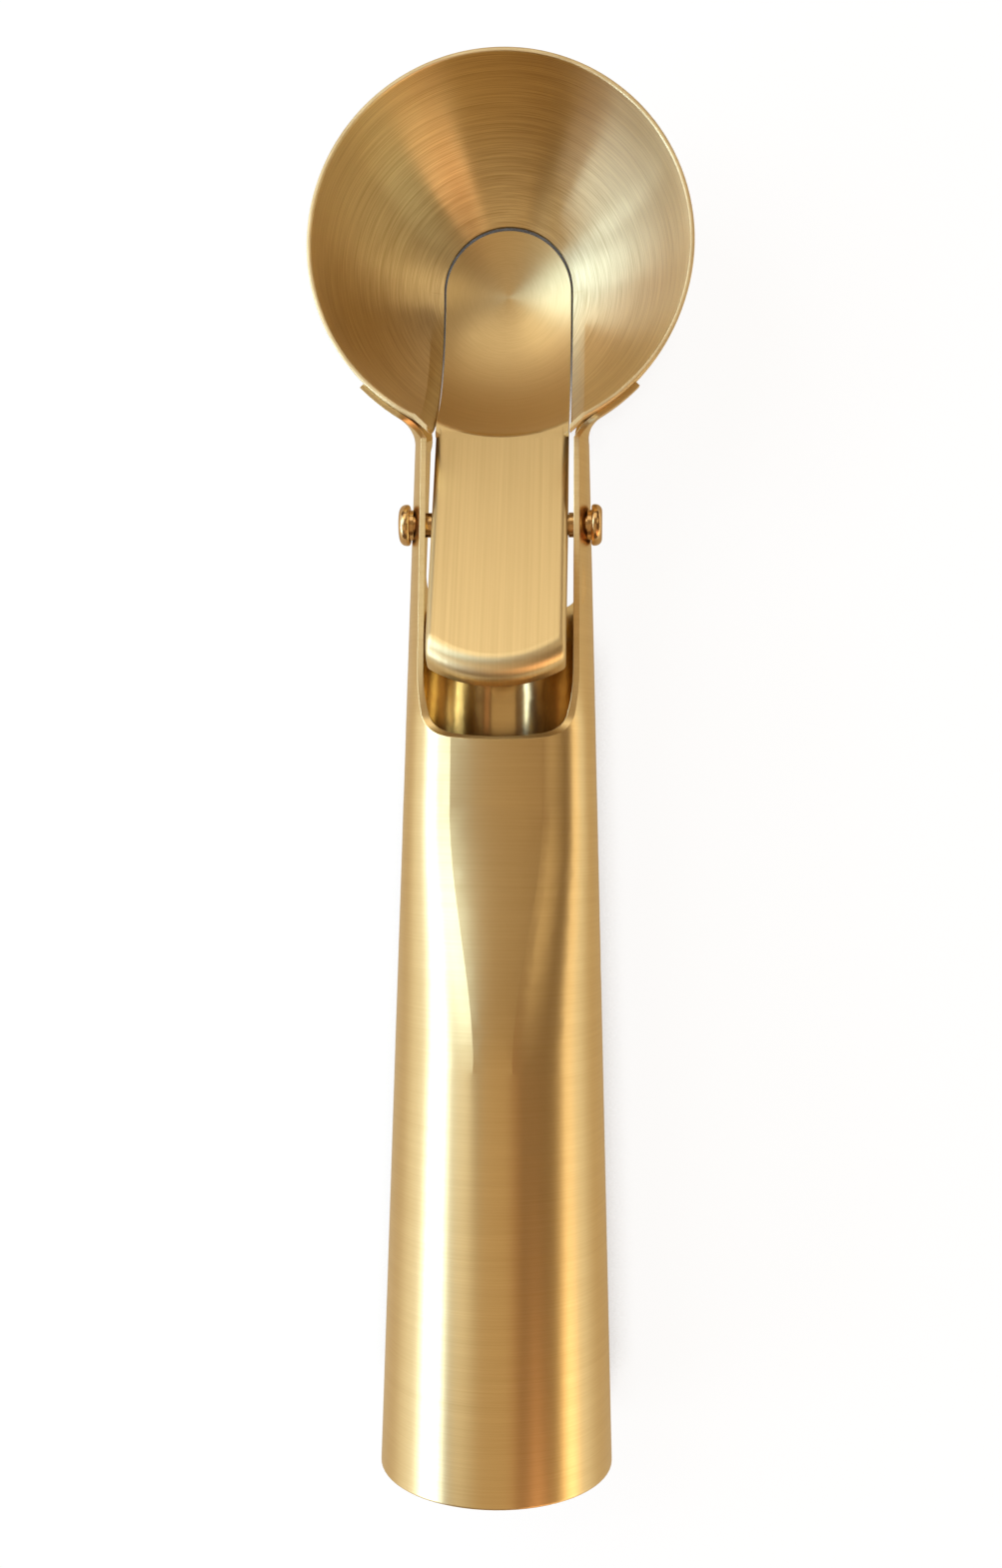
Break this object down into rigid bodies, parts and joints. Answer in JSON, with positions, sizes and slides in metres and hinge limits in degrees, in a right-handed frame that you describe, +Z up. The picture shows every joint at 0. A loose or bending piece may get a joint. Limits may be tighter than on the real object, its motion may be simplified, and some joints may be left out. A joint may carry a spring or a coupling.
{
  "type": "ice cream scoop",
  "caption": "Ice cream scoop: a hemispherical bowl on a tapered tube handle, with a sprung thumb lever whose tongue sweeps through a slot in the bowl to push the ball out.",
  "frame": {"origin": "on the surface that the scoop lies on, under the middle of its length and width", "axes": "+X across the scoop, +Y along the handle towards the bowl, +Z up out of the bowl"},
  "size_m": [0.055, 0.2046, 0.0343],
  "materials": {
    "handle_metal": "brushed across the handle",
    "bowl_metal": "brushed in circles",
    "lever_metal": "fine satin brushing along the pad",
    "rivet_metal": "polished",
    "spring_steel": "drawn wire"
  },
  "bodies": {
    "scoop": {"handle_shell": "handle_metal", "bowl": "bowl_metal", "pivot_rivet": "rivet_metal", "rivet_cap": "rivet_metal", "washer_left": "rivet_metal", "washer_right": "rivet_metal", "spacer_left": "rivet_metal", "spacer_right": "rivet_metal", "spring_sleeve": "rivet_metal", "torsion_spring": "spring_steel"},
    "lever": {"thumb_lever": "lever_metal"}
  },
  "joints": [
    {"name": "lever_pivot", "type": "hinge", "parent": "scoop", "child": "lever", "pos_m": [0, 0.036, 0.02015], "axis": [1, 0, 0], "range_deg": [0, 38], "stiffness_Nm_per_rad": 0.12, "springref_deg": -57.3, "deforming": ["torsion_spring"]}
  ]
}
